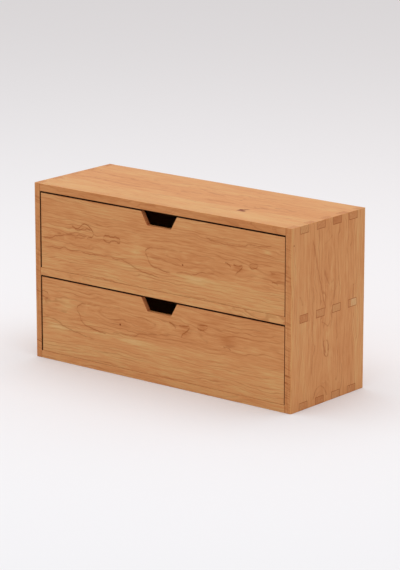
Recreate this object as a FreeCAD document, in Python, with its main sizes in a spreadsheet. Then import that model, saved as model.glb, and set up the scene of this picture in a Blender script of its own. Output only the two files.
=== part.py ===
import FreeCAD, Part

import os
import re

import Sketcher

# A tabletop cabinet with two equal inset drawers, one above the other.
# X runs across the front, Y from the front to the back and Z up. The origin is at the centre of the
# underside. Lengths are in millimetres.

SIZES = {
    # carcass
    "cabinet_width": 520,
    "cabinet_depth": 186,
    "cabinet_height": 289,
    "board": 12,  # thickness of each carcass board
    "tenon_count": 4,  # through tenons on each end of a horizontal board
    "corner_round": 3,  # radius of the two upright front corners
    "edge_round": 0.6,  # radius of the other outer edges
    # back panel, which lies on a ledge cut around the back of the carcass
    "back_panel": 5,
    "ledge": 6,
    "back_play": 0.3,
    "row_screws": 5,  # along the top, and along the bottom
    "divider_screws": 3,
    "row_margin": 32,  # from the cabinet's side to the first screw of a row
    # drawers
    "side_gap": 1.8,
    "top_gap": 2.8,
    "rear_gap": 3,
    "front_recess": 0.9,  # how far the fronts sit behind the carcass
    "front_board": 8,
    "front_lap": 3,  # what is left of a front where it covers a drawer side's end
    "drawer_board": 8,
    "drawer_tenons": 3,  # through tenons on each end of a drawer's back
    "drawer_panel": 4,
    "panel_lift": 7,
    "panel_play": 0.5,
    "groove_depth": 4,
    "groove_play": 0.2,
    # finger notch in the top edge of each front
    "notch_width": 72,
    "notch_floor": 47.5,
    "notch_depth": 21.5,
    "notch_round": 4,
    # wooden pins that lock the drawer sides into the front
    "pin_count": 3,
    "pin_diameter": 2.5,
    "pin_length": 24,
    # slotted countersunk screws
    "screw_length": 14,
    "screw_shank": 2.4,
    "screw_head": 4.8,
    "slot_width": 0.6,
    "slot_depth": 0.7,
    "panel_screws": 3,  # under the back of each drawer
    "hole_play": 0.1,
    # blocks that stop a drawer as it closes
    "stop_width": 30,
    "stop_length": 12,
    "stop_height": 5,
    "stop_inset": 70,  # from the side of the opening to the middle of its block
}

COUNTERSINK_DEGREES = 45

FINGER = "(cabinet_depth / (2 * tenon_count + 1))"
OPENING_WIDTH = "(cabinet_width - 2 * board)"
OPENING_HEIGHT = "((cabinet_height - 3 * board) / 2)"
DIVIDER_UP = f"(board + {OPENING_HEIGHT})"
INNER_DEPTH = "(cabinet_depth - back_panel)"
CARCASS_FRONT = "(-cabinet_depth / 2)"

# A drawer's pieces are measured from its front's face and from the board that carries it.
DRAWER_FRONT = f"({CARCASS_FRONT} + front_recess)"
DRAWER_HALF = f"({OPENING_WIDTH} / 2 - side_gap)"
DRAWER_INNER_HALF = f"({DRAWER_HALF} - drawer_board)"
DRAWER_TOP = f"({OPENING_HEIGHT} - top_gap)"
DRAWER_LENGTH = f"({INNER_DEPTH} - front_recess - rear_gap)"
GROOVE_TOP = "(panel_lift + drawer_panel + groove_play)"
DRAWER_FINGER = f"(({DRAWER_TOP} - {GROOVE_TOP}) / (2 * drawer_tenons + 1))"
NOTCH_FLOOR_UP = f"({DRAWER_TOP} - notch_depth)"

NORMALS = {"XY": 1, "XZ": -1, "YZ": 1}  # where each plane's normal points along its own axis
TOUCH = 1e-4

doc = FreeCAD.newDocument("Cabinet")
sheet = doc.addObject("Spreadsheet::Sheet", "Sizes")
for row, (alias, size) in enumerate(SIZES.items(), 1):
    sheet.set(f"A{row}", alias)
    sheet.set(f"B{row}", str(size))
    sheet.setAlias(f"B{row}", alias)
doc.recompute()


def value(formula):
    """What a formula in the sheet's names comes to."""
    return float(sheet.evalExpression(formula))


def bind(thing, name, formula):
    """Ties a property to the sheet."""
    thing.setExpression(
        name,
        re.sub(r"[a-z_]+", lambda word: "Sizes." + word[0] if word[0] in SIZES else word[0], formula),
    )


def near(distance, formula):
    return abs(distance - value(formula)) < TOUCH


def origin_feature(body, role):
    return next(feature for feature in body.Origin.OriginFeatures if feature.Role == role)


def hold(drawing, rule, formula):
    """Adds a sketch's constraint and ties its size to the sheet."""
    bind(drawing, f"Constraints[{drawing.addConstraint(rule)}]", formula)


def hold_point(drawing, geometry, point, place):
    """Fixes a point of a sketch by its two distances from the sketch's origin."""
    for kind, formula in zip(("DistanceX", "DistanceY"), place):
        hold(drawing, Sketcher.Constraint(kind, -1, 1, geometry, point, value(formula)), formula)


def draw_outline(drawing, corners):
    """Straight lines through the corners and back to the first."""
    first = drawing.GeometryCount
    points = [FreeCAD.Vector(value(across), value(up), 0) for across, up in corners]
    following = [*range(1, len(corners)), 0]
    for start, end in enumerate(following):
        drawing.addGeometry(Part.LineSegment(points[start], points[end]))
    for start, end in enumerate(following):
        drawing.addConstraint(Sketcher.Constraint("Coincident", first + start, 2, first + end, 1))
        hold_point(drawing, first + start, 1, corners[start])


def draw_circle(drawing, centre, diameter):
    middle = FreeCAD.Vector(value(centre[0]), value(centre[1]), 0)
    number = drawing.addGeometry(Part.Circle(middle, FreeCAD.Vector(0, 0, 1), value(diameter) / 2))
    hold_point(drawing, number, 3, centre)
    hold(drawing, Sketcher.Constraint("Diameter", number, value(diameter)), diameter)


def sketch(body, name, plane, at, outlines, circles, diameter):
    """A sketch on one of the body's own planes, moved to a place along that plane's axis."""
    drawing = body.newObject("Sketcher::SketchObject", f"{body.Name}_{name}_sketch")
    drawing.AttachmentSupport = [(origin_feature(body, plane + "_Plane"), "")]
    drawing.MapMode = "FlatFace"
    bind(drawing, "AttachmentOffset.Base.z", f"{NORMALS[plane]} * {at}")
    for corners in outlines:
        draw_outline(drawing, corners)
    for centre in circles:
        draw_circle(drawing, centre, diameter)
    return drawing


def add(body, name, plane, at, toward, length, outlines=(), circles=(), diameter="", taper=0):
    """Pads a sketch toward the plus (1) or minus (-1) end of its plane's axis."""
    feature = body.newObject("PartDesign::Pad", f"{body.Name}_{name}")
    feature.Profile = sketch(body, name, plane, at, outlines, circles, diameter)
    feature.Reversed = toward != NORMALS[plane]
    feature.TaperAngle = taper
    bind(feature, "Length", length)
    doc.recompute()
    return feature


def cut(body, name, plane, at, toward, depth, outlines=(), circles=(), diameter="", taper=0):
    """Pockets a sketch in the same way, or right through where the depth is None."""
    before = body.Shape.Volume
    feature = body.newObject("PartDesign::Pocket", f"{body.Name}_{name}")
    feature.Profile = sketch(body, name, plane, at, outlines, circles, diameter)
    feature.Reversed = toward == NORMALS[plane]
    feature.TaperAngle = taper
    if depth is None:
        feature.Type = "ThroughAll"
    else:
        bind(feature, "Length", depth)
    doc.recompute()
    if body.Shape.Volume > before - TOUCH:
        raise RuntimeError(f"{feature.Name} takes nothing away")
    return feature


def repeat(body, feature, axis, count, spacing):
    """A row of copies of a feature along one of the body's axes."""
    row = body.newObject("PartDesign::LinearPattern", f"{feature.Name}_row")
    row.Originals = [feature]
    row.Direction = (origin_feature(body, axis + "_Axis"), [""])
    row.Mode = "Spacing"
    bind(row, "Occurrences", count)
    bind(row, "Offset", spacing)
    body.Tip = row
    doc.recompute()


def ease(body, name, radius, wanted):
    """Rounds the edges whose two ends and middle all pass a test."""
    base = body.Tip
    names = []
    for number, edge in enumerate(base.Shape.Edges, 1):
        first, last = edge.ParameterRange
        if all(wanted(edge.valueAt(place)) for place in (first, (first + last) / 2, last)):
            names.append(f"Edge{number}")
    feature = body.newObject("PartDesign::Fillet", f"{body.Name}_{name}")
    feature.Base = (base, names)
    bind(feature, "Radius", radius)
    doc.recompute()


def rectangle(left, low, right, high):
    return [(left, low), (right, low), (right, high), (left, high)]


def new_piece(label, place, several=False):
    """A body named after its piece, with its own frame placed in the cabinet's."""
    body = doc.addObject("PartDesign::Body", label)
    body.Label = label
    body.AllowCompound = several
    for axis, formula in zip("xyz", place):
        bind(body, f"Placement.Base.{axis}", formula)
    return body


def spread(count, margin):
    """Evenly spaced places along X, the outer two a margin inside the cabinet's sides."""
    half = f"(cabinet_width / 2 - {margin})"
    return [f"{2 * k / (SIZES[count] - 1) - 1} * {half}" for k in range(SIZES[count])]


# Screws and their holes


def add_screws(body, plane, at, toward, heads):
    """Screws with their heads in a plane, pointing toward one end of its axis."""
    cone = "(screw_head - screw_shank) / 2"
    slots = [
        rectangle(
            f"{across} - screw_head / 2",
            f"{up} - slot_width / 2",
            f"{across} + screw_head / 2",
            f"{up} + slot_width / 2",
        )
        for across, up in heads
    ]
    add(body, "shanks", plane, at, toward, "screw_length", [], heads, "screw_shank")
    add(body, "heads", plane, at, toward, cone, [], heads, "screw_head", -COUNTERSINK_DEGREES)
    cut(body, "slots", plane, at, toward, "slot_depth", slots)


def cut_screw_holes(body, plane, at, toward, heads):
    """Countersunk holes right through the piece that such screws hold."""
    cone = "(screw_head - screw_shank) / 2"
    head = "screw_head + hole_play"
    cut(body, "holes", plane, at, toward, None, [], heads, "screw_shank + hole_play")
    cut(body, "countersinks", plane, at, toward, cone, [], heads, head, -COUNTERSINK_DEGREES)


def cut_pilots(body, plane, at, toward, held, heads):
    """Blind holes for such screws in the piece behind, past what they hold."""
    depth = f"screw_length - {held} + hole_play"
    cut(body, "pilots", plane, at, toward, depth, [], heads, "screw_shank + hole_play")


# The carcass


def side_board(label, hand):
    """A side, with its outer face on its frame's YZ plane. The hand is -1 on the left, 1 on the right."""
    side = new_piece(label, (f"{hand} * cabinet_width / 2", CARCASS_FRONT, "0"))
    inward = -hand
    face = rectangle("0", "0", "cabinet_depth", "cabinet_height")
    add(side, "board", "YZ", "0", inward, "board", [face])
    ease(side, "corner", "corner_round", lambda p: near(p.x, "0") and near(p.y, "0"))

    def is_outer(p):
        end = near(p.z, "0") or near(p.z, "cabinet_height") or near(p.y, "cabinet_depth")
        return end and not near(abs(p.x), "board")

    ease(side, "edges", "edge_round", is_outer)
    slots = [
        rectangle(FINGER, low, f"2 * {FINGER}", high)
        for low, high in (
            ("0", "board"),
            (DIVIDER_UP, f"{DIVIDER_UP} + board"),
            ("cabinet_height - board", "cabinet_height"),
        )
    ]
    slot = cut(side, "slots", "YZ", "0", inward, None, slots)
    repeat(side, slot, "Y", "tenon_count", f"2 * {FINGER}")
    recess = rectangle(
        f"{inward} * (board - ledge)", "board - ledge", f"{inward} * board", "cabinet_height - board + ledge"
    )
    cut(side, "ledge", "XZ", "cabinet_depth", -1, "back_panel", [recess])
    holes = [(f"{inward} * (board - ledge / 2)", up) for up in OPENING_MIDDLES]
    cut_pilots(side, "XZ", INNER_DEPTH, -1, "back_panel", holes)


def tenoned_board(label, up, depth, outer=None):
    """A full-width board with its ends notched between the through tenons, and its outer face eased."""
    board = new_piece(label, ("0", CARCASS_FRONT, up))
    half = "cabinet_width / 2"
    shoulder = f"{OPENING_WIDTH} / 2"
    add(board, "board", "XY", "0", 1, "board", [rectangle(f"-{half}", "0", half, depth)])
    if outer is not None:
        ease(board, "edges", "edge_round", lambda p: near(p.z, outer))
    gaps = [
        rectangle(f"-{half}", "0", f"-{shoulder}", FINGER),
        rectangle(shoulder, "0", half, FINGER),
    ]
    gap = cut(board, "gaps", "XY", "0", 1, None, gaps)
    repeat(board, gap, "Y", "tenon_count + 1", f"2 * {FINGER}")
    return board


def outer_board(label, up, outer, ledge_low, ledge_high):
    """The top or the bottom, with the back's ledge along its inner face."""
    board = tenoned_board(label, up, "cabinet_depth", outer)
    recess = rectangle(f"-{OPENING_WIDTH} / 2", ledge_low, f"{OPENING_WIDTH} / 2", ledge_high)
    cut(board, "ledge", "XZ", "cabinet_depth", -1, "back_panel", [recess])
    holes = [(across, f"({ledge_low} + {ledge_high}) / 2") for across in spread("row_screws", "row_margin")]
    cut_pilots(board, "XZ", INNER_DEPTH, -1, "back_panel", holes)


def back_board(label, screws):
    back = new_piece(label, ("0", CARCASS_FRONT, "0"))
    half = "(cabinet_width / 2 - board + ledge - back_play)"
    low = "board - ledge + back_play"
    high = "cabinet_height - board + ledge - back_play"
    face = rectangle(f"-{half}", low, half, high)
    add(back, "board", "XZ", "cabinet_depth", -1, "back_panel", [face])
    cut_screw_holes(back, "XZ", "cabinet_depth", -1, screws)


OPENING_MIDDLES = [f"(board + {OPENING_HEIGHT} / 2)", f"(2 * board + 1.5 * {OPENING_HEIGHT})"]
LEDGE_MIDDLES = [f"{hand} * (cabinet_width / 2 - board + ledge / 2)" for hand in (-1, 1)]
ROW = spread("row_screws", "row_margin")
DIVIDER_ROW = spread("divider_screws", "row_margin")
BACK_SCREWS = (
    [(across, "(board - ledge / 2)") for across in ROW]
    + [(across, f"({DIVIDER_UP} + board / 2)") for across in DIVIDER_ROW]
    + [(across, "(cabinet_height - board + ledge / 2)") for across in ROW]
    + [(across, up) for across in LEDGE_MIDDLES for up in OPENING_MIDDLES]
)

side_board("left_side", -1)
side_board("right_side", 1)
outer_board("top_panel", "cabinet_height - board", "board", "0", "ledge")
outer_board("bottom_panel", "0", "0", "board - ledge", "board")
divider = tenoned_board("divider", DIVIDER_UP, INNER_DEPTH)
cut_pilots(divider, "XZ", INNER_DEPTH, -1, "back_panel", [(across, "board / 2") for across in DIVIDER_ROW])
back_board("back_panel", BACK_SCREWS)
back_screws = new_piece("back_screws", ("0", CARCASS_FRONT, "0"), several=True)
add_screws(back_screws, "XZ", "cabinet_depth", -1, BACK_SCREWS)

# The drawers

PINS = [
    ("(front_lap + front_board) / 2", f"{(k + 0.5) / SIZES['pin_count']} * {DRAWER_TOP}")
    for k in range(SIZES["pin_count"])
]
PANEL_SCREWS = [
    (across, f"({DRAWER_LENGTH} - drawer_board / 2)") for across in spread("panel_screws", "2 * row_margin")
]


def drawer_piece(drawer, name, floor, several=False):
    return new_piece(f"{drawer}_drawer_{name}", ("0", DRAWER_FRONT, floor), several)


def drawer_front(drawer, floor):
    """The front, with its finger notch, the rebates for the sides and the groove for the bottom."""
    front = drawer_piece(drawer, "front", floor)
    face = rectangle(f"-{DRAWER_HALF}", "0", DRAWER_HALF, DRAWER_TOP)
    add(front, "board", "XZ", "0", 1, "front_board", [face])
    notch = [
        ("-notch_width / 2", DRAWER_TOP),
        ("-notch_floor / 2", NOTCH_FLOOR_UP),
        ("notch_floor / 2", NOTCH_FLOOR_UP),
        ("notch_width / 2", DRAWER_TOP),
    ]
    cut(front, "notch", "XZ", "0", 1, None, [notch])

    def is_floor_corner(p):
        return near(abs(p.x), "notch_floor / 2") and near(p.z, NOTCH_FLOOR_UP)

    def is_felt(p):
        """On the front's face, or around the notch at its back."""
        return near(p.y, "0") or near(p.y, "front_board") and abs(p.x) < value("notch_width / 2") + TOUCH

    ease(front, "notch_corners", "notch_round", is_floor_corner)
    ease(front, "edges", "edge_round", is_felt)
    rebates = [
        rectangle(f"{hand} * {DRAWER_HALF}", "0", f"{hand} * {DRAWER_INNER_HALF}", DRAWER_TOP)
        for hand in (-1, 1)
    ]
    cut(front, "rebates", "XZ", "front_board", -1, "front_board - front_lap", rebates)
    groove = rectangle(f"-{DRAWER_INNER_HALF}", "panel_lift", DRAWER_INNER_HALF, GROOVE_TOP)
    cut(front, "groove", "XZ", "front_board", -1, "groove_depth", [groove])
    for hand, name in ((-1, "left_pin_holes"), (1, "right_pin_holes")):
        end = f"{hand} * {DRAWER_HALF}"
        cut(front, name, "YZ", end, -hand, "pin_length + hole_play", [], PINS, "pin_diameter + hole_play")


def drawer_side(drawer, name, hand, floor):
    """A side, with slots for the back's tenons and the groove that the bottom slides in along."""
    side = new_piece(f"{drawer}_drawer_{name}", (f"{hand} * {DRAWER_HALF}", DRAWER_FRONT, floor))
    inward = -hand
    face = rectangle("front_lap", "0", DRAWER_LENGTH, DRAWER_TOP)
    add(side, "board", "YZ", "0", inward, "drawer_board", [face])
    slot = rectangle(
        f"{DRAWER_LENGTH} - drawer_board",
        f"{GROOVE_TOP} + {DRAWER_FINGER}",
        DRAWER_LENGTH,
        f"{GROOVE_TOP} + 2 * {DRAWER_FINGER}",
    )
    first = cut(side, "slots", "YZ", "0", inward, None, [slot])
    repeat(side, first, "Z", "drawer_tenons", f"2 * {DRAWER_FINGER}")
    groove = rectangle("front_lap", "panel_lift", DRAWER_LENGTH, GROOVE_TOP)
    cut(side, "groove", "YZ", f"{inward} * drawer_board", hand, "groove_depth", [groove])
    cut(side, "pin_holes", "YZ", "0", inward, None, [], PINS, "pin_diameter + hole_play")


def drawer_back(drawer, floor):
    """The back, which stands on the bottom panel, with its ends notched between the tenons."""
    back = drawer_piece(drawer, "back", floor)
    face = rectangle(f"-{DRAWER_HALF}", GROOVE_TOP, DRAWER_HALF, DRAWER_TOP)
    add(back, "board", "XZ", DRAWER_LENGTH, -1, "drawer_board", [face])
    gaps = [
        rectangle(
            f"{hand} * {DRAWER_HALF}",
            GROOVE_TOP,
            f"{hand} * {DRAWER_INNER_HALF}",
            f"{GROOVE_TOP} + {DRAWER_FINGER}",
        )
        for hand in (-1, 1)
    ]
    gap = cut(back, "gaps", "XZ", DRAWER_LENGTH, -1, None, gaps)
    repeat(back, gap, "Z", "drawer_tenons + 1", f"2 * {DRAWER_FINGER}")
    cut_pilots(back, "XY", GROOVE_TOP, 1, "drawer_panel", PANEL_SCREWS)


def drawer_bottom(drawer, floor):
    """The bottom panel, in the grooves of the front and sides and under the back."""
    bottom = drawer_piece(drawer, "bottom", floor)
    half = f"({DRAWER_INNER_HALF} + groove_depth - panel_play)"
    panel = rectangle(f"-{half}", "front_board - groove_depth + panel_play", half, DRAWER_LENGTH)
    add(bottom, "board", "XY", "panel_lift", 1, "drawer_panel", [panel])
    cut_screw_holes(bottom, "XY", "panel_lift", 1, PANEL_SCREWS)


def drawer_pins(drawer, floor):
    pins = drawer_piece(drawer, "pins", floor, several=True)
    for hand, name in ((-1, "left"), (1, "right")):
        add(pins, name, "YZ", f"{hand} * {DRAWER_HALF}", -hand, "pin_length", [], PINS, "pin_diameter")


def stop_block(label, hand, floor):
    """A block on the carrying board that meets the back of a closed drawer's front."""
    block = new_piece(label, (f"{hand} * ({OPENING_WIDTH} / 2 - stop_inset)", DRAWER_FRONT, floor))
    base = rectangle("-stop_width / 2", "front_board", "stop_width / 2", "front_board + stop_length")
    add(block, "block", "XY", "0", 1, "stop_height", [base])


for drawer, floor in (("lower", "board"), ("upper", f"{DIVIDER_UP} + board")):
    drawer_front(drawer, floor)
    drawer_side(drawer, "left_side", -1, floor)
    drawer_side(drawer, "right_side", 1, floor)
    drawer_back(drawer, floor)
    drawer_bottom(drawer, floor)
    drawer_pins(drawer, floor)
    add_screws(drawer_piece(drawer, "screws", floor, several=True), "XY", "panel_lift", 1, PANEL_SCREWS)
    stop_block(f"{drawer}_left_stop", -1, floor)
    stop_block(f"{drawer}_right_stop", 1, floor)

# Each object is tested before any file is written.

doc.recompute()
for thing in doc.Objects:
    if "Invalid" in thing.State or "Error" in thing.State:
        raise RuntimeError(f"{thing.Name} failed: {thing.State}")
pieces = doc.findObjects("PartDesign::Body")
for piece in pieces:
    if piece.Shape.isNull() or not piece.Shape.isValid():
        raise RuntimeError(f"{piece.Label} has no valid shape")
    if len(piece.Shape.Solids) > 1 and not piece.AllowCompound:
        raise RuntimeError(f"{piece.Label} fell apart")
os.makedirs("parts", exist_ok=True)
for piece in pieces:
    piece.Shape.exportStep(f"parts/{piece.Label}.step")
    print(piece.Label, len(piece.Shape.Solids), round(piece.Shape.Volume))
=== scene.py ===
"""The looks of a small cherry-wood cabinet with two inset drawers.

Every piece of wood has a solid grain of its own: rings about a heart that lies off the board, stretched
and bent along the grain, so that faces, edges and end grain belong together.
"""
import math
from collections import namedtuple

import bpy
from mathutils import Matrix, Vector


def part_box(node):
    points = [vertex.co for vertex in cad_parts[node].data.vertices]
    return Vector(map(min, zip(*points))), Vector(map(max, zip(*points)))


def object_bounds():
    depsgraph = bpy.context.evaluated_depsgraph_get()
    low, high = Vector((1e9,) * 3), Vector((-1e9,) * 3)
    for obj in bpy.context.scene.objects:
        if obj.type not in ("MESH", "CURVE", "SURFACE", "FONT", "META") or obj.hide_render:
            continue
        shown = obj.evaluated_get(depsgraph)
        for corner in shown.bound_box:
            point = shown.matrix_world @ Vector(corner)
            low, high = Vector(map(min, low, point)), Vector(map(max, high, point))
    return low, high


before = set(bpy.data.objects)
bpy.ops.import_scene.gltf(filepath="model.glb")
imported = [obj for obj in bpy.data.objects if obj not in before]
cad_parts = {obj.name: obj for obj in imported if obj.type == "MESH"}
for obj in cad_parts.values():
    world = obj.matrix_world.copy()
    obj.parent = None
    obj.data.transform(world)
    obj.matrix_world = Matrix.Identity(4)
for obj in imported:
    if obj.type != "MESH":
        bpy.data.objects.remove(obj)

CAD_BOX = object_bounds()
MM = 0.001

# The photograph's camera
AZIMUTH, ELEVATION = 39.023, 14.342        # degrees
AIM = Vector((0.0048, 0.0033, 0.1426))
CAMERA_DISTANCE = 4.485
LENS, SENSOR = 178.8, 36.0                 # millimetres

# The studio
WORLD_LIGHT = 0.80
OVERHEAD_POWER, OVERHEAD_SIZE, OVERHEAD_HEIGHT = 30.0, 3.0, 2.6
FLOOR_SIZE = 30.0
FLOOR_GAP = 0.1                            # millimetres that keep it off the cabinet's underside
FLOOR_FRONT, FLOOR_REAR = (236, 236, 239), (235, 231, 232)
FLOOR_FRONT_Y, FLOOR_REAR_Y = -2.5, 3.0

# Carcass sizes in millimetres, read from the frame
SIDE_LOW, SIDE_HIGH = (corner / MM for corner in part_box("right_side"))
BOARD_THICKNESS = SIDE_HIGH.x - SIDE_LOW.x
INNER_X = SIDE_LOW.x
FRONT_Y = SIDE_LOW.y
HEIGHT = SIDE_HIGH.z - SIDE_LOW.z
FINGERS = 9
FINGER = (SIDE_HIGH.y - SIDE_LOW.y) / FINGERS
SHELF_STEP = (HEIGHT - BOARD_THICKNESS) / 2
GAP_REACH = 5.0                            # how far off a wall still shades a gap
PLY = 1.2                                  # the thickness of a layer of the plywood

# Colours on a scale of 0 to 255
WOOD = ((0.0, (168, 98, 50)), (0.3, (191, 124, 73)), (0.5, (205, 143, 90)), (0.7, (209, 161, 104)),
        (1.0, (222, 182, 130)))
LINE, KNOT, END = (148, 74, 26), (122, 50, 4), (166, 98, 54)
# Painted shade: a near-black for the faces inside the gaps about the drawer fronts, and a dark red for the rounded
# edges that border those gaps
PAINTED_GAP_SHADE, PAINTED_RIM_SHADE = (62, 12, 3), (150, 40, 8)
GLOSS = 0.12

# Half widths of drawn lines, in millimetres: where a line is full, and where it has faded
TRACE_CORE, TRACE_EDGE, TRACE_HALO = 0.4, 1.3, 4.5
SEAM_CORE, SEAM_EDGE = 0.2, 0.75

# A board: grain, across and through name the object's axes along its grain, across its face and through
# its thickness. heart is where the tree's heart lies, as across and through. All are in millimetres.
Board = namedtuple("Board", "grain across through heart seed ring tone contrast end edge eyes traces bands"
                            " patches knots tenons", defaults=(4.6, 0.0, 1.0, 0.3, 0.0, (), (), (), (), (), ()))
Eye = namedtuple("Eye", "along across long wide rings")
Trace = namedtuple("Trace", "dark points")            # a line of the figure, its points as along and across
Band = namedtuple("Band", "across blur tone")         # everything beyond this line across has the tone
Patch = namedtuple("Patch", "along across long wide tone")
Knot = namedtuple("Knot", "along across long wide dark slope", defaults=(0.0,))
Tenon = namedtuple("Tenon", "start end tone")         # a tenon's end on the side, measured from the front


def linear(colour):
    """A screen colour as the linear colour that a shader takes."""
    def channel(value):
        value /= 255
        return value / 12.92 if value <= 0.04045 else ((value + 0.055) / 1.055) ** 2.4
    return (*map(channel, colour), 1.0)


class Signal:
    """One output in a node tree. Arithmetic with it adds Math nodes to the tree."""

    def __init__(self, socket):
        self.socket = socket

    def maths(self, operation, *others):
        node = self.socket.id_data.nodes.new("ShaderNodeMath")
        node.operation = operation
        for entry, value in zip(node.inputs, (self, *others)):
            feed(entry, value)
        return Signal(node.outputs[0])

    def __add__(self, other):
        return self.maths("ADD", other)

    def __sub__(self, other):
        return self.maths("SUBTRACT", other)

    def __mul__(self, other):
        return self.maths("MULTIPLY", other)

    def __truediv__(self, other):
        return self.maths("DIVIDE", other)

    def __mod__(self, other):
        return self.maths("FLOORED_MODULO", other)

    def __abs__(self):
        return self.maths("ABSOLUTE")

    def most(self, other):
        return self.maths("MAXIMUM", other)

    def bell(self):
        """1 at zero, falling away smoothly to both sides."""
        return (self * self * -1.0).maths("EXPONENT")

    def step(self, low, high):
        """0 below low and 1 above high, smooth between. low may be the larger, for a falling step."""
        node = self.socket.id_data.nodes.new("ShaderNodeMapRange")
        node.interpolation_type = "SMOOTHSTEP"
        feed(node.inputs["Value"], self)
        node.inputs["From Min"].default_value = min(low, high)
        node.inputs["From Max"].default_value = max(low, high)
        node.inputs["To Min"].default_value = 0.0 if low < high else 1.0
        node.inputs["To Max"].default_value = 1.0 if low < high else 0.0
        return Signal(node.outputs["Result"])


def feed(entry, value):
    """Links a signal to an input, or sets the input to a plain value."""
    if isinstance(value, Signal):
        entry.id_data.links.new(value.socket, entry)
    else:
        entry.default_value = value


def join(x, y, z):
    """A vector from three signals or numbers."""
    tree = next(part for part in (x, y, z) if isinstance(part, Signal)).socket.id_data
    node = tree.nodes.new("ShaderNodeCombineXYZ")
    for entry, value in zip(node.inputs, (x, y, z)):
        feed(entry, value)
    return Signal(node.outputs[0])


def split(vector):
    node = vector.socket.id_data.nodes.new("ShaderNodeSeparateXYZ")
    feed(node.inputs[0], vector)
    return [Signal(output) for output in node.outputs]


def length(*parts):
    """The length of the vector with these parts."""
    total = parts[0] * parts[0]
    for part in parts[1:]:
        total = total + part * part
    return total.maths("SQRT")


def noise(place, size, seed, detail=2.0, roughness=0.5):
    """Smooth noise, mostly within 0.5 of zero. size is that of one lump along each axis of place."""
    tree = place.socket.id_data
    shift = tree.nodes.new("ShaderNodeMapping")
    shift.inputs["Location"].default_value = (seed, seed * 1.7, -seed)
    shift.inputs["Scale"].default_value = [1 / lump for lump in size]
    feed(shift.inputs["Vector"], place)
    node = tree.nodes.new("ShaderNodeTexNoise")
    tree.links.new(shift.outputs["Vector"], node.inputs["Vector"])
    node.inputs["Scale"].default_value = 1.0
    node.inputs["Detail"].default_value = detail
    node.inputs["Roughness"].default_value = roughness
    return Signal(node.outputs["Fac"]) * 2.0 - 1.0


def ramp(signal, stops):
    """A colour for each value of the signal."""
    node = signal.socket.id_data.nodes.new("ShaderNodeValToRGB")
    feed(node.inputs["Fac"], signal)
    elements = node.color_ramp.elements
    while len(elements) < len(stops):
        elements.new(0.5)
    for element, (position, colour) in zip(elements, stops):
        element.position = position
        element.color = linear(colour)
    return Signal(node.outputs["Color"])


def stain(under, colour, amount):
    """under with that much of a colour over it."""
    node = under.socket.id_data.nodes.new("ShaderNodeMix")
    node.data_type = "RGBA"
    feed(node.inputs["Factor"], amount)
    feed(node.inputs["A"], under)
    feed(node.inputs["B"], linear(colour))
    return Signal(node.outputs["Result"])


def ring_count(place, board):
    """How many rings out from the heart a point lies, with the board's own figure."""
    along, across, through = split(place)
    sway = noise(place, (260, 110, 110), board.seed, 1.0) * 22.0
    radius = length(across - board.heart[0] + sway, through - board.heart[1])
    wave = noise(place, (60, 22, 22), board.seed + 3, 2.0) * 6.0
    flame = noise(place, (20, 7, 7), board.seed + 5, 1.0) * 1.8
    count = (radius + wave + flame) / board.ring
    for eye in board.eyes:
        hump = ((along - eye.along) / eye.long).bell() * ((across - eye.across) / eye.wide).bell()
        count = count + hump * eye.rings
    return count


def grain(place, board):
    """The grain's shade, about 0.5, and how dark its lines and pores are."""
    count = ring_count(place, board)
    along, across, _ = split(place)
    layer = join(count, along / 500, board.seed)
    shade = noise(layer, (1.3, 1, 1), board.seed, 2.0, 0.6) * 0.10
    shade = shade + noise(layer, (0.35, 2, 1), board.seed + 11, 2.0, 0.6) * 0.16
    shade = shade + noise(place, (90, 26, 26), board.seed + 13, 2.0) * 0.13
    shade = shade + noise(place, (34, 2.4, 2.4), board.seed + 15, 1.0) * 0.20
    shade = shade + noise(place, (20, 0.8, 0.8), board.seed + 17, 2.0, 0.6) * 0.22
    for band in board.bands:
        wander = noise(place, (70, 60, 60), board.seed + 19, 1.0) * 5.0
        shade = shade + (across + wander - band.across).step(-band.blur, band.blur) * band.tone
    for patch in board.patches:
        spot = ((along - patch.along) / patch.long).bell() * ((across - patch.across) / patch.wide).bell()
        shade = shade + spot * patch.tone
    presence = noise(place, (110, 16, 16), board.seed + 7, 1.0).step(-0.3, 0.3)
    ring_line = abs(count % 1.0 - 0.5).step(0.16, 0.02) * presence
    stray_line = noise(layer, (0.34, 1, 1), board.seed + 9, 1.0).step(0.2, 0.5)
    pores = noise(place, (4, 0.4, 0.4), board.seed + 23, 1.0).step(0.35, 0.7)
    return shade * board.contrast + 0.5 + board.tone, ring_line.most(stray_line * 0.7) * board.contrast, pores


def curve(share, points):
    """The height of a smooth curve through the points, where share is how far along it is, from 0 to 1."""
    node = share.socket.id_data.nodes.new("ShaderNodeFloatCurve")
    feed(node.inputs["Value"], share)
    knots = node.mapping.curves[0].points
    knots[0].location, knots[-1].location = points[0], points[-1]
    for point in points[1:-1]:
        knots.new(*point)
    node.mapping.update()
    return Signal(node.outputs["Value"])


def traced(along, across, trace):
    """A thin line drawn through the trace's points, with a soft stain beside it."""
    first, last = trace.points[0][0], trace.points[-1][0]
    low = min(height for _, height in trace.points) - 2.0
    rise = max(height for _, height in trace.points) + 2.0 - low
    share = (along - first) / (last - first)
    line = curve(share, [((a - first) / (last - first), (b - low) / rise) for a, b in trace.points])
    off = abs(line * rise + low - across)
    mark = off.step(TRACE_EDGE, TRACE_CORE).most(off.step(TRACE_HALO, 0.0) * 0.25)
    return mark * abs(share - 0.5).step(0.52, 0.46) * trace.dark


def drawn_marks(place, board):
    """The dark loops and wavy lines of the figure, uneven in strength."""
    along, across, _ = split(place)
    wobbly = across + noise(place, (7, 9, 60), board.seed + 29, 2.0) * 2.4
    total = traced(along, wobbly, board.traces[0])
    for trace in board.traces[1:]:
        total = total.most(traced(along, wobbly, trace))
    return total * (noise(place, (11, 8, 60), board.seed + 31, 0.0).step(-0.7, 0.1) * 0.5 + 0.5)


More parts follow.
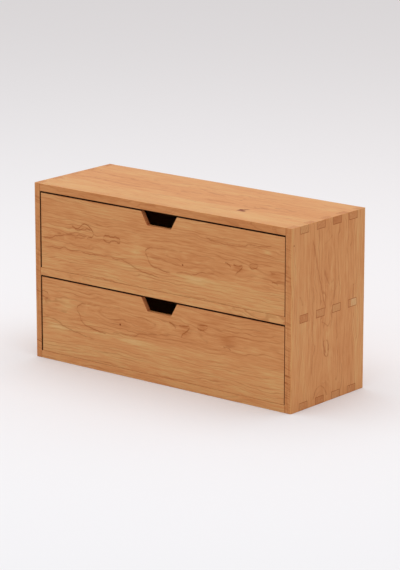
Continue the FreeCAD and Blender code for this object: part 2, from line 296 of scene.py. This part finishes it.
def knots(place, board):
    along, across, _ = split(place)
    ragged = noise(place, (5, 5, 60), board.seed + 43, 1.0) * 0.6
    total = None
    for knot in board.knots:
        ahead = along - knot.along
        far = length(ahead / knot.long, (across - ahead * knot.slope - knot.across) / knot.wide)
        mark = (far + ragged).step(1.4, 0.5) * knot.dark
        total = mark if total is None else total.most(mark)
    return total


def joint_lines(axes, facing):
    """The glued joints of the carcass: outlines of the tenons on the sides, and of the boards in front."""
    cell = abs(((axes["Y"] - FRONT_Y) / FINGER - 0.5) % 2.0 - 1.0) * FINGER - FINGER / 2
    shelf = abs((axes["Z"] + (SHELF_STEP - BOARD_THICKNESS) / 2) % SHELF_STEP - SHELF_STEP / 2)
    shelf = shelf - BOARD_THICKNESS / 2
    beside = abs(axes["X"]) - INNER_X
    on_side = abs(cell.most(shelf)).step(SEAM_EDGE, SEAM_CORE) * facing["X"]
    in_front = abs(beside).step(SEAM_EDGE, SEAM_CORE) * facing["Y"] * shelf.step(0.4, -0.2)
    return on_side.most(in_front)


def tenon_tone(axes, facing, board):
    """Each tenon's end has its own tone."""
    total = 0.0
    for tenon in board.tenons:
        middle, half = (tenon.start + tenon.end) / 2, (tenon.end - tenon.start) / 2
        total = abs(axes["Y"] - FRONT_Y - middle).step(half + 0.2, half - 0.2) * tenon.tone + total
    return total * facing["X"]


def ripple_marks(axes, facing, board):
    """Short dark lines across the front edge of an upright board."""
    place = join(axes["X"], axes["Y"], axes["Z"] + axes["X"] * 0.25)
    bars = noise(place, (26, 30, 2.0), board.seed + 37, 1.0).step(-0.15, 0.45)
    drift = noise(place, (40, 40, 26), board.seed + 41, 1.0).step(-0.5, 0.3)
    low = axes["Z"].step(HEIGHT * 0.6, 0.0) * 0.5 + 0.5
    return bars * drift * low * facing["Y"]


def by_opening(axes):
    """1 within the carcass's front opening and on its rim."""
    rim = (abs(axes["X"]) - INNER_X).step(1.5, 0.5) * (axes["Z"] - BOARD_THICKNESS).step(-1.5, -0.5)
    return rim * (axes["Z"] - HEIGHT + BOARD_THICKNESS).step(1.5, 0.5) * (axes["Y"] - FRONT_Y).step(14.0, 8.0)


def gap_shade(tree):
    """Narrow gaps about the drawer fronts are deep in shade. It goes where a drawer is pulled out."""
    node = tree.nodes.new("ShaderNodeAmbientOcclusion")
    node.samples = 6
    node.inputs["Distance"].default_value = GAP_REACH * MM
    return Signal(node.outputs["AO"]).step(0.9, 0.45)


def wood(name, board):
    """The material of one piece of wood."""
    material = bpy.data.materials.new(name)
    material.use_nodes = True
    tree = material.node_tree
    shader = tree.nodes["Principled BSDF"]
    coordinates = tree.nodes.new("ShaderNodeTexCoord")
    axes = {axis: part / MM for axis, part in zip("XYZ", split(Signal(coordinates.outputs["Object"])))}
    normal = split(Signal(coordinates.outputs["Normal"]))
    facing = {axis: abs(part).step(0.75, 0.95) for axis, part in zip("XYZ", normal)}
    place = join(axes[board.grain], axes[board.across], axes[board.through])

    shade, lines, pores = grain(place, board)
    # Painted highlight: faces on the rounded edges are a little lighter, as an eased edge catches the light
    rounded = facing["X"].most(facing["Y"]).most(facing["Z"]) * -1.0 + 1.0
    shade = shade + rounded * 0.08 + facing["Y"] * board.edge
    if board.tenons:
        shade = shade + tenon_tone(axes, facing, board)
    if name in UPRIGHTS:
        lines = lines * (facing["Y"] * -0.8 + 1.0)
    colour = ramp(shade, WOOD)
    colour = stain(colour, LINE, lines * 0.40)
    colour = stain(colour, LINE, pores * 0.25)
    if board.traces:
        colour = stain(colour, LINE, drawn_marks(place, board))
    if board.knots:
        colour = stain(colour, KNOT, knots(place, board))
    colour = stain(colour, END, facing[board.grain] * board.end)
    if name in UPRIGHTS:
        colour = stain(colour, LINE, ripple_marks(axes, facing, board) * 0.85)
    if name in UPRIGHTS + SHELVES:
        colour = stain(colour, LINE, joint_lines(axes, facing) * 0.85)
    if name in UPRIGHTS + SHELVES + FRONTS:
        # A front stands on the board below it, so there is no gap between the two.
        stands = normal[2].step(-0.6, -0.2) if name in FRONTS else normal[2].step(0.6, 0.2)
        if name not in FRONTS:
            stands = stands * by_opening(axes)
        # Painted shade: the rounded edges by the gaps are stained dark red, and faces close to a facing wall, as
        # ambient occlusion finds them, are stained near-black
        hollow = gap_shade(tree) * (facing["Y"] * -1.0 + 1.0)
        colour = stain(colour, PAINTED_RIM_SHADE, rounded * stands * 0.8)
        colour = stain(colour, PAINTED_GAP_SHADE, hollow * stands * 0.95)
    if name in PLYWOOD:
        plies = abs((axes[board.through] / PLY) % 2.0 - 1.0).step(0.4, 0.6)
        colour = stain(colour, LINE, plies * (facing[board.through] * -1.0 + 1.0) * 0.5)
    feed(shader.inputs["Base Color"], colour)
    feed(shader.inputs["Roughness"], shade * -0.18 + 0.58)
    shader.inputs["Specular IOR Level"].default_value = GLOSS
    bump = tree.nodes.new("ShaderNodeBump")
    bump.inputs["Strength"].default_value = 0.3
    bump.inputs["Distance"].default_value = 0.1 * MM
    feed(bump.inputs["Height"], shade - lines * 0.3 - pores * 0.6)
    tree.links.new(bump.outputs["Normal"], shader.inputs["Normal"])
    return material


# The figure of both drawer fronts, in millimetres to the right of and above its pin knot
FRONT_TRACES = (
    # the hook on the left, its two inner lines and the lines that run into it
    Trace(0.8, ((-228, 29), (-217, 26), (-212, 28), (-205, 33), (-197, 35), (-190, 31), (-182, 24))),
    Trace(0.7, ((-196, 13), (-190, 15), (-184, 18), (-181, 24))),
    Trace(0.6, ((-222, 25), (-214, 24), (-203, 27), (-194, 28), (-188, 27))),
    Trace(0.5, ((-222, 10), (-208, 12), (-200, 14))),
    Trace(0.6, ((-290, 2), (-273, 3), (-262, 7), (-249, 10), (-231, 14), (-221, 13), (-209, 16), (-196, 15))),
    # the closed loop beside it
    Trace(0.8, ((-162, 18), (-160, 22), (-153, 24), (-145, 23), (-134, 24), (-127, 20))),
    Trace(0.8, ((-162, 18), (-157, 14), (-150, 13), (-144, 17), (-137, 17), (-131, 15), (-127, 18))),
    # the long line below them
    Trace(0.5, ((-288, -15), (-272, -12), (-258, -13), (-245, -9), (-231, -12), (-214, -10), (-197, -12),
                 (-162, -10), (-146, -8), (-141, -12), (-127, -11), (-110, -14), (-99, -19), (-75, -24),
                 (-47, -28))),
    # the wide eye about the pin knot
    Trace(0.65, ((-76, 7), (-75, 12), (-70, 16), (-64, 18), (-60, 18))),
    Trace(0.3, ((-60, 18), (-47, 19), (-25, 20), (0, 21))),
    Trace(0.65, ((-76, 7), (-71, 2), (-68, -6), (-61, -11), (-47, -14), (-25, -17))),
    Trace(0.45, ((-13, -14), (4, -12), (22, -12), (34, -7), (50, -5), (63, -3))),
    # the broken loops on the right
    Trace(0.8, ((84, 17), (91, 15), (95, 11))),
    Trace(0.8, ((100, 16), (108, 16), (117, 18))),
    Trace(0.8, ((104, 0), (107, 5), (112, 9), (117, 14), (118, 18))),
    Trace(0.7, ((131, 21), (139, 23), (148, 23))),
    Trace(0.7, ((131, 21), (133, 16), (143, 17), (148, 22))),
    Trace(0.6, ((174, -1), (180, 0), (186, -2))),
    # the long line above them
    Trace(0.45, ((46, 52), (57, 48), (74, 46), (90, 46), (122, 48), (131, 52), (158, 53), (174, 57))),
)
FRONT_EYES = (Eye(12, 3, 84, 24, -1.6), Eye(-203, 22, 34, 14, -0.8))
FRONT_PATCHES = (Patch(22, 2, 76, 17, -0.04), Patch(22, -20, 30, 6, 0.22), Patch(-93, 12, 13, 14, 0.16),
                 Patch(-112, -21, 20, 5, 0.2), Patch(181, 10, 15, 6, -0.22), Patch(166, 45, 7, 3, 0.2),
                 Patch(-40, 50, 260, 16, -0.04), Patch(110, 10, 9, 6, -0.18), Patch(139, 19, 8, 3, -0.15))


def drawer_front(knot_x, knot_z, scale, seed):
    """A drawer front's board, with the figure scaled and laid out about its pin knot."""
    def moved(points):
        return tuple((knot_x + along * scale, knot_z + across * scale) for along, across in points)

    def placed(spot):
        along, across = moved([(spot.along, spot.across)])[0]
        return spot._replace(along=along, across=across, long=spot.long * scale, wide=spot.wide * scale)

    return Board("X", "Z", "Y", (knot_z + 12, -112), seed, 4.6 * scale, tone=0.04,
                 eyes=tuple(map(placed, FRONT_EYES)), patches=tuple(map(placed, FRONT_PATCHES)),
                 traces=tuple(Trace(trace.dark, moved(trace.points)) for trace in FRONT_TRACES),
                 bands=(Band(knot_z - 14 * scale, 3.0, -0.06),), knots=(Knot(knot_x, knot_z, 1.6, 1.3, 1.0),))


RIGHT_SIDE = Board(
    "Z", "Y", "X", (4, 305), 2.0, contrast=0.9, edge=-0.12,
    eyes=(Eye(225, 2, 60, 26, -0.9), Eye(86, -5, 20, 10, -0.6), Eye(0, -19, 36, 22, -1.5)),
    traces=(
        Trace(0.5, ((148, -7), (169, -14), (193, -21), (216, -28), (234, -33), (262, -40))),
        Trace(0.25, ((150, 6), (165, 12), (180, 21), (195, 27))),
        Trace(0.55, ((119, -1), (124, -7), (130, -17))),
        Trace(0.45, ((119, -1), (128, 7))),
        Trace(0.65, ((71, -3), (77, -9), (85, -10), (95, -12), (99, -7))),
        Trace(0.65, ((71, -3), (80, 1), (90, 1), (99, -5))),
        Trace(0.6, ((78, -6), (86, -8), (90, -7))),
        Trace(0.35, ((50, -42), (65, -41), (80, -39), (91, -34), (100, -38), (110, -40), (148, -39), (160, -40),
                    (175, -39), (190, -43))),
        Trace(0.5, ((10, -38), (18, -34), (25, -29), (29, -20))),
        Trace(0.5, ((10, -2), (21, -8), (29, -19))),
        Trace(0.3, ((10, -30), (17, -25), (20, -18))),
        Trace(0.35, ((165, -66), (172, -68), (180, -71))),
        Trace(0.4, ((148, 64), (160, 65), (174, 64))),
        Trace(0.3, ((250, -12), (256, 2), (262, 8))),
    ),
    bands=(Band(-45, 6.0, -0.05), Band(66, 2.0, 0.08)),
    patches=(Patch(215, -6, 55, 18, -0.06), Patch(60, -60, 120, 8, 0.06), Patch(100, 30, 60, 14, -0.06)),
    knots=(Knot(285, -71, 1.4, 1.0, 0.9), Knot(262, -88, 1.4, 1.0, 0.9)))
TOP_PANEL = Board(
    "X", "Y", "Z", (10, 230), 3.0, 5.0, tone=0.08, contrast=0.8, edge=-0.20,
    bands=(Band(-31, 1.5, -0.12), Band(38, 5.0, 0.06)),
    traces=(Trace(0.3, ((-215, 3), (-180, 4), (-150, 2), (-115, 3))),
            Trace(0.25, ((31, -14), (48, -16), (70, -12), (87, -15)))),
    patches=(Patch(58, -14, 28, 12, -0.12), Patch(120, -60, 120, 12, 0.08)),
    knots=(Knot(121.5, -41, 4.2, 6.5, 1.0), Knot(127, -43.5, 7.5, 4.2, 0.85, -0.3),
           Knot(125, -35, 6.0, 3.6, 0.75, 0.6), Knot(80.5, 12, 1.8, 1.6, 0.5)),
    tenons=(Tenon(20.7, 41.3, 0.02), Tenon(62, 82.7, -0.05), Tenon(103.3, 124, -0.16), Tenon(144.7, 165.3, -0.08)))
DIVIDER = Board(
    "X", "Y", "Z", (-190, 130), 5.0, tone=0.04,
    tenons=(Tenon(20.7, 41.3, -0.14), Tenon(62, 82.7, -0.04), Tenon(103.3, 124, 0.04), Tenon(152, 165.3, 0.35)))
BOTTOM_PANEL = Board(
    "X", "Y", "Z", (-150, 30), 4.0, tone=0.04,
    tenons=(Tenon(20.7, 41.3, -0.02), Tenon(62, 82.7, -0.12), Tenon(103.3, 124, 0.02), Tenon(144.7, 165.3, -0.08)))
BOARDS = {
    "left_side": Board("Z", "Y", "X", (-10, -305), 1.0, contrast=0.9, edge=-0.12),
    "right_side": RIGHT_SIDE,
    "top_panel": TOP_PANEL,
    "bottom_panel": BOTTOM_PANEL,
    "divider": DIVIDER,
    "back_panel": Board("X", "Z", "Y", (130, 150), 6.0),
    "upper_drawer_front": drawer_front(47.5, 200.2, 1.0, 7.0),
    "lower_drawer_front": drawer_front(-80.4, 83.2, 1.2, 7.0),
}
UPRIGHTS = ("left_side", "right_side")
SHELVES = ("top_panel", "bottom_panel", "divider")
FRONTS = ("upper_drawer_front", "lower_drawer_front")
PLYWOOD = ("back_panel", "upper_drawer_bottom", "lower_drawer_bottom")


def hidden_board(name, seed):
    """A board inside the cabinet: sanded and left pale, as no light or oil has darkened it."""
    if name.endswith("pins"):
        return Board("X", "Y", "Z", (-60, 40), seed, 1.2, tone=-0.35, end=0.8)
    if name.endswith("stop"):
        return Board("X", "Y", "Z", (-60, 40), seed, 3.0, tone=0.08)
    if name.endswith("bottom"):
        return Board("X", "Y", "Z", (30, 160), seed, 4.0, tone=0.14, contrast=0.8)
    if name.endswith("back"):
        return Board("X", "Z", "Y", (160, 180), seed, tone=0.14, contrast=0.8)
    return Board("Y", "Z", "X", (40, 330), seed, tone=0.14, contrast=0.8)


def brass():
    material = bpy.data.materials.new("brass")
    material.use_nodes = True
    tree = material.node_tree
    shader = tree.nodes["Principled BSDF"]
    place = Signal(tree.nodes.new("ShaderNodeTexCoord").outputs["Object"])
    wear = noise(place, (0.0012, 0.0012, 0.0012), 1.0, 3.0)
    feed(shader.inputs["Base Color"], ramp(wear * 0.5 + 0.5, ((0.2, (200, 144, 74)), (0.8, (238, 194, 116)))))
    feed(shader.inputs["Roughness"], wear * 0.12 + 0.34)
    shader.inputs["Metallic"].default_value = 1.0
    return material


def dress():
    """Gives every CAD node its material."""
    metal = brass()
    for number, (name, node) in enumerate(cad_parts.items()):
        if name.endswith("screws"):
            material = metal
        else:
            material = wood(name, BOARDS.get(name) or hidden_board(name, 10.0 + number))
        for holder in node.material_slots:
            holder.material = material


def make_floor():
    half = FLOOR_SIZE / 2
    mesh = bpy.data.meshes.new("floor")
    corners = [(-half, -half, 0), (half, -half, 0), (half, half, 0), (-half, half, 0)]
    mesh.from_pydata(corners, [], [(0, 1, 2, 3)])
    floor = bpy.data.objects.new("floor", mesh)
    bpy.context.collection.objects.link(floor)
    floor.location.z = CAD_BOX[0].z - FLOOR_GAP * MM
    material = bpy.data.materials.new("floor")
    material.use_nodes = True
    tree = material.node_tree
    shader = tree.nodes["Principled BSDF"]
    y = split(Signal(tree.nodes.new("ShaderNodeTexCoord").outputs["Object"]))[1]
    far = y.step(FLOOR_FRONT_Y, FLOOR_REAR_Y)
    feed(shader.inputs["Base Color"], ramp(far, ((0.0, FLOOR_FRONT), (1.0, FLOOR_REAR))))
    shader.inputs["Roughness"].default_value = 0.9
    shader.inputs["Specular IOR Level"].default_value = 0.0
    mesh.materials.append(material)


def make_light():
    world = bpy.data.worlds.new("studio")
    world.use_nodes = True
    tree = world.node_tree
    sky = tree.nodes["Background"]
    sky.inputs["Color"].default_value = (1, 1, 1, 1)
    sky.inputs["Strength"].default_value = WORLD_LIGHT
    seen = tree.nodes.new("ShaderNodeBackground")
    seen.inputs["Color"].default_value = linear(FLOOR_REAR)
    path = tree.nodes.new("ShaderNodeLightPath")
    mix = tree.nodes.new("ShaderNodeMixShader")
    tree.links.new(path.outputs["Is Camera Ray"], mix.inputs["Fac"])
    tree.links.new(sky.outputs[0], mix.inputs[1])
    tree.links.new(seen.outputs[0], mix.inputs[2])
    tree.links.new(mix.outputs[0], tree.nodes["World Output"].inputs["Surface"])
    bpy.context.scene.world = world

    lamp = bpy.data.lights.new("overhead", "AREA")
    lamp.shape = "DISK"
    lamp.size = OVERHEAD_SIZE
    lamp.energy = OVERHEAD_POWER
    holder = bpy.data.objects.new("overhead", lamp)
    holder.location = (0, 0, OVERHEAD_HEIGHT)
    bpy.context.collection.objects.link(holder)


def make_camera():
    azimuth, elevation = math.radians(AZIMUTH), math.radians(ELEVATION)
    back = Vector((math.sin(azimuth) * math.cos(elevation), -math.cos(azimuth) * math.cos(elevation),
                   math.sin(elevation)))
    lens = bpy.data.cameras.new("camera")
    lens.lens = LENS
    lens.sensor_width = SENSOR
    camera = bpy.data.objects.new("camera", lens)
    camera.location = AIM + back * CAMERA_DISTANCE
    camera.rotation_mode = "QUATERNION"
    camera.rotation_quaternion = (-back).to_track_quat("-Z", "Y")
    bpy.context.collection.objects.link(camera)
    bpy.context.scene.camera = camera


make_camera()
make_light()
make_floor()
dress()
bpy.context.scene.view_settings.view_transform = "Standard"
